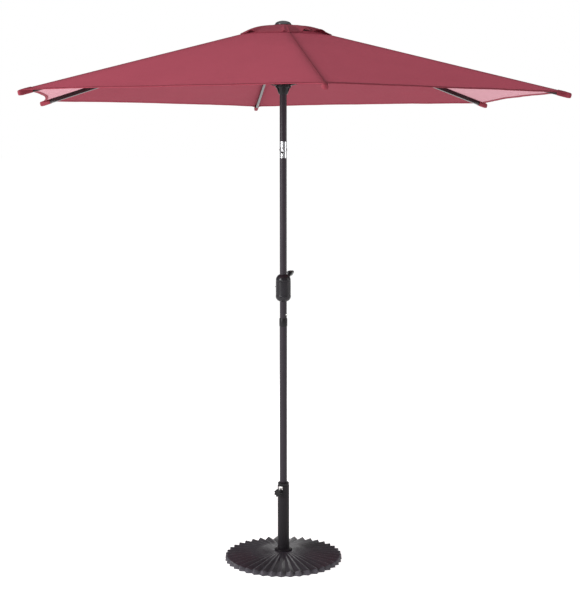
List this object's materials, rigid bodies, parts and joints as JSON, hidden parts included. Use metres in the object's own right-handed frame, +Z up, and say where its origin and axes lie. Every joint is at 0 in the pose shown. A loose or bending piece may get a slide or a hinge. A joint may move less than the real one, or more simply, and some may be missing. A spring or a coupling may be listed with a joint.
{
  "type": "patio umbrella with base",
  "caption": "Market umbrella with a hexagonal vented canopy on folding ribs, a crank-lift tilting pole and a fluted round base with a clamped stem.",
  "frame": {"origin": "on the floor, on the pole's axis under the base's centre", "axes": "+Z up the pole; the first rib points along -Y, so +Y lies along two opposite ribs and +X across them"},
  "size_m": [2.1624, 2.4916, 2.4],
  "materials": {
    "cast_base": "semi-gloss black paint over fluted casting",
    "rubber_feet": "matt rubber",
    "zinc_steel": "zinc plated",
    "stem_paint": "semi-gloss charcoal powder coat",
    "blank_label": "plain pale film, no print",
    "black_plastic": "moulded black plastic",
    "pole_paint": "semi-gloss charcoal powder coat",
    "housing_plastic": "fine-grained charcoal moulding",
    "dark_screw": "black oxide",
    "tilt_chrome": "polished chrome",
    "brass_pad": "plain brass",
    "knob_plastic": "moulded black knob",
    "grip_plastic": "grey moulded grip",
    "finial_plastic": "grey-black moulded dome",
    "canopy_fabric": "burgundy polyester, plain weave",
    "rib_paint": "charcoal powder coat",
    "dark_fitting": "dark clip and tip"
  },
  "bodies": {
    "stand": {"base_plate": "cast_base", "base_feet": "rubber_feet", "base_bolt": "zinc_steel", "stem_tube": "stem_paint", "stem_foot_ring": "stem_paint", "label_plate": "blank_label"},
    "stem_bush": {"stem_bush": "black_plastic"},
    "pole": {"lower_pole": "pole_paint", "pole_foot_plug": "black_plastic", "pole_spigot": "zinc_steel", "pole_collar": "black_plastic", "mid_pole": "pole_paint", "high_pole": "pole_paint", "housing_front": "housing_plastic", "housing_rear": "housing_plastic", "housing_screws": "dark_screw", "tilt_lower_knuckle": "tilt_chrome", "tilt_pin": "zinc_steel"},
    "clamp_shoe": {"clamp_pad": "brass_pad"},
    "clamp_knob": {"clamp_knob": "knob_plastic", "clamp_screw": "zinc_steel"},
    "snap_button": {"snap_button": "zinc_steel"},
    "tilt_button": {"tilt_button": "black_plastic"},
    "crank": {"crank_spool": "black_plastic", "crank_shaft": "zinc_steel", "crank_arm": "housing_plastic"},
    "crank_grip": {"crank_grip": "grip_plastic"},
    "top": {"tilt_upper_knuckle": "tilt_chrome", "top_pole": "pole_paint", "pulley_pin": "zinc_steel", "crown_hub": "black_plastic", "hub_wire": "zinc_steel", "finial": "finial_plastic", "canopy_cap": "canopy_fabric"},
    "pulley": {"pulley": "black_plastic"},
    "runner": {"runner": "black_plastic"},
    "rib_1": {"rib_1": "rib_paint", "rib_fittings_1": "dark_fitting", "gore_1": "canopy_fabric"},
    "strut_1": {"strut_1": "rib_paint"},
    "rib_2": {"rib_2": "rib_paint", "rib_fittings_2": "dark_fitting", "gore_2": "canopy_fabric"},
    "strut_2": {"strut_2": "rib_paint"},
    "rib_3": {"rib_3": "rib_paint", "rib_fittings_3": "dark_fitting", "gore_3": "canopy_fabric"},
    "strut_3": {"strut_3": "rib_paint"},
    "rib_4": {"rib_4": "rib_paint", "rib_fittings_4": "dark_fitting", "gore_4": "canopy_fabric"},
    "strut_4": {"strut_4": "rib_paint"},
    "rib_5": {"rib_5": "rib_paint", "rib_fittings_5": "dark_fitting", "gore_5": "canopy_fabric"},
    "strut_5": {"strut_5": "rib_paint"},
    "rib_6": {"rib_6": "rib_paint", "rib_fittings_6": "dark_fitting", "gore_6": "canopy_fabric"},
    "strut_6": {"strut_6": "rib_paint"}
  },
  "joints": [
    {"name": "umbrella_turn", "type": "hinge", "parent": "stand", "child": "stem_bush", "pos_m": [0, 0, 0.35], "axis": [0, 0, 1], "continuous": true},
    {"name": "pole_lift", "type": "slide", "parent": "stem_bush", "child": "pole", "axis": [0, 0, 1], "range_m": [0, 0.26]},
    {"name": "clamp_shoe_slide", "type": "slide", "parent": "stand", "child": "clamp_shoe", "axis": [-0.6293, -0.7771, 0], "range_m": [0, 0.003]},
    {"name": "clamp_knob_turn", "type": "hinge", "parent": "clamp_shoe", "child": "clamp_knob", "pos_m": [-0.02517, -0.03109, 0.317], "axis": [-0.6293, -0.7771, 0], "range_deg": [0, 720]},
    {"name": "snap_press", "type": "slide", "parent": "pole", "child": "snap_button", "axis": [-0.8192, 0.5736, 0], "range_m": [0, 0.0035], "stiffness_N_per_m": 900, "springref_m": -0.003},
    {"name": "canopy_tilt", "type": "hinge", "parent": "pole", "child": "top", "pos_m": [0, 0, 1.845], "axis": [-0.9272, 0.3746, 0], "range_deg": [0, 36]},
    {"name": "tilt_button_press", "type": "slide", "parent": "pole", "child": "tilt_button", "axis": [-0.3746, -0.9272, 0], "range_m": [0, 0.003], "stiffness_N_per_m": 900, "springref_m": -0.003},
    {"name": "canopy_fold", "type": "slide", "parent": "top", "child": "runner", "axis": [0, 0, 1], "range_m": [-0.6077, 0], "deforming": ["gore_1", "gore_2", "gore_3", "gore_4", "gore_5", "gore_6"]},
    {"name": "rib_1_fold", "type": "hinge", "parent": "top", "child": "rib_1", "pos_m": [0, -0.028, 2.369], "axis": [1, 0, 0], "range_deg": [0, 70.22]},
    {"name": "strut_1_fold", "type": "hinge", "parent": "rib_1", "child": "strut_1", "pos_m": [0, -0.43732, 2.24609], "axis": [1, 0, 0], "range_deg": [-140.44, 0]},
    {"name": "rib_2_fold", "type": "hinge", "parent": "top", "child": "rib_2", "pos_m": [0.02425, -0.014, 2.369], "axis": [0.5, 0.866, 0], "range_deg": [0, 70.22]},
    {"name": "strut_2_fold", "type": "hinge", "parent": "rib_2", "child": "strut_2", "pos_m": [0.37873, -0.21866, 2.24609], "axis": [0.5, 0.866, 0], "range_deg": [-140.44, 0]},
    {"name": "rib_3_fold", "type": "hinge", "parent": "top", "child": "rib_3", "pos_m": [0.02425, 0.014, 2.369], "axis": [-0.5, 0.866, 0], "range_deg": [0, 70.22]},
    {"name": "strut_3_fold", "type": "hinge", "parent": "rib_3", "child": "strut_3", "pos_m": [0.37873, 0.21866, 2.24609], "axis": [-0.5, 0.866, 0], "range_deg": [-140.44, 0]},
    {"name": "rib_4_fold", "type": "hinge", "parent": "top", "child": "rib_4", "pos_m": [0, 0.028, 2.369], "axis": [-1, 0, 0], "range_deg": [0, 70.22]},
    {"name": "strut_4_fold", "type": "hinge", "parent": "rib_4", "child": "strut_4", "pos_m": [0, 0.43732, 2.24609], "axis": [-1, 0, 0], "range_deg": [-140.44, 0]},
    {"name": "rib_5_fold", "type": "hinge", "parent": "top", "child": "rib_5", "pos_m": [-0.02425, 0.014, 2.369], "axis": [-0.5, -0.866, 0], "range_deg": [0, 70.22]},
    {"name": "strut_5_fold", "type": "hinge", "parent": "rib_5", "child": "strut_5", "pos_m": [-0.37873, 0.21866, 2.24609], "axis": [-0.5, -0.866, 0], "range_deg": [-140.44, 0]},
    {"name": "rib_6_fold", "type": "hinge", "parent": "top", "child": "rib_6", "pos_m": [-0.02425, -0.014, 2.369], "axis": [0.5, -0.866, 0], "range_deg": [0, 70.22]},
    {"name": "strut_6_fold", "type": "hinge", "parent": "rib_6", "child": "strut_6", "pos_m": [-0.37873, -0.21866, 2.24609], "axis": [0.5, -0.866, 0], "range_deg": [-140.44, 0]},
    {"name": "crank_turn", "type": "hinge", "parent": "pole", "child": "crank", "pos_m": [0, 0, 1.242], "axis": [0.3746, 0.9272, 0], "range_deg": [-3600.5, 0]},
    {"name": "crank_grip_spin", "type": "hinge", "parent": "crank", "child": "crank_grip", "pos_m": [0.03848, 0.05779, 1.29828], "axis": [0.3746, 0.9272, 0], "continuous": true},
    {"name": "pulley_turn", "type": "hinge", "parent": "top", "child": "pulley", "pos_m": [0.004, 0.00693, 2.318], "axis": [-0.866, 0.5, 0], "range_deg": [-3317, 0]}
  ],
  "couplings": [
    {"joint": "clamp_knob_turn", "follows": "clamp_shoe_slide", "rad_per_m": 4188.8},
    {"joint": "rib_1_fold", "follows": "canopy_fold", "rad_per_m": -2.0162},
    {"joint": "strut_1_fold", "follows": "canopy_fold", "rad_per_m": 4.0323},
    {"joint": "rib_2_fold", "follows": "canopy_fold", "rad_per_m": -2.0162},
    {"joint": "strut_2_fold", "follows": "canopy_fold", "rad_per_m": 4.0323},
    {"joint": "rib_3_fold", "follows": "canopy_fold", "rad_per_m": -2.0162},
    {"joint": "strut_3_fold", "follows": "canopy_fold", "rad_per_m": 4.0323},
    {"joint": "rib_4_fold", "follows": "canopy_fold", "rad_per_m": -2.0162},
    {"joint": "strut_4_fold", "follows": "canopy_fold", "rad_per_m": 4.0323},
    {"joint": "rib_5_fold", "follows": "canopy_fold", "rad_per_m": -2.0162},
    {"joint": "strut_5_fold", "follows": "canopy_fold", "rad_per_m": 4.0323},
    {"joint": "rib_6_fold", "follows": "canopy_fold", "rad_per_m": -2.0162},
    {"joint": "strut_6_fold", "follows": "canopy_fold", "rad_per_m": 4.0323},
    {"joint": "crank_turn", "follows": "canopy_fold", "rad_per_m": 103.39},
    {"joint": "pulley_turn", "follows": "canopy_fold", "rad_per_m": 95.238}
  ]
}
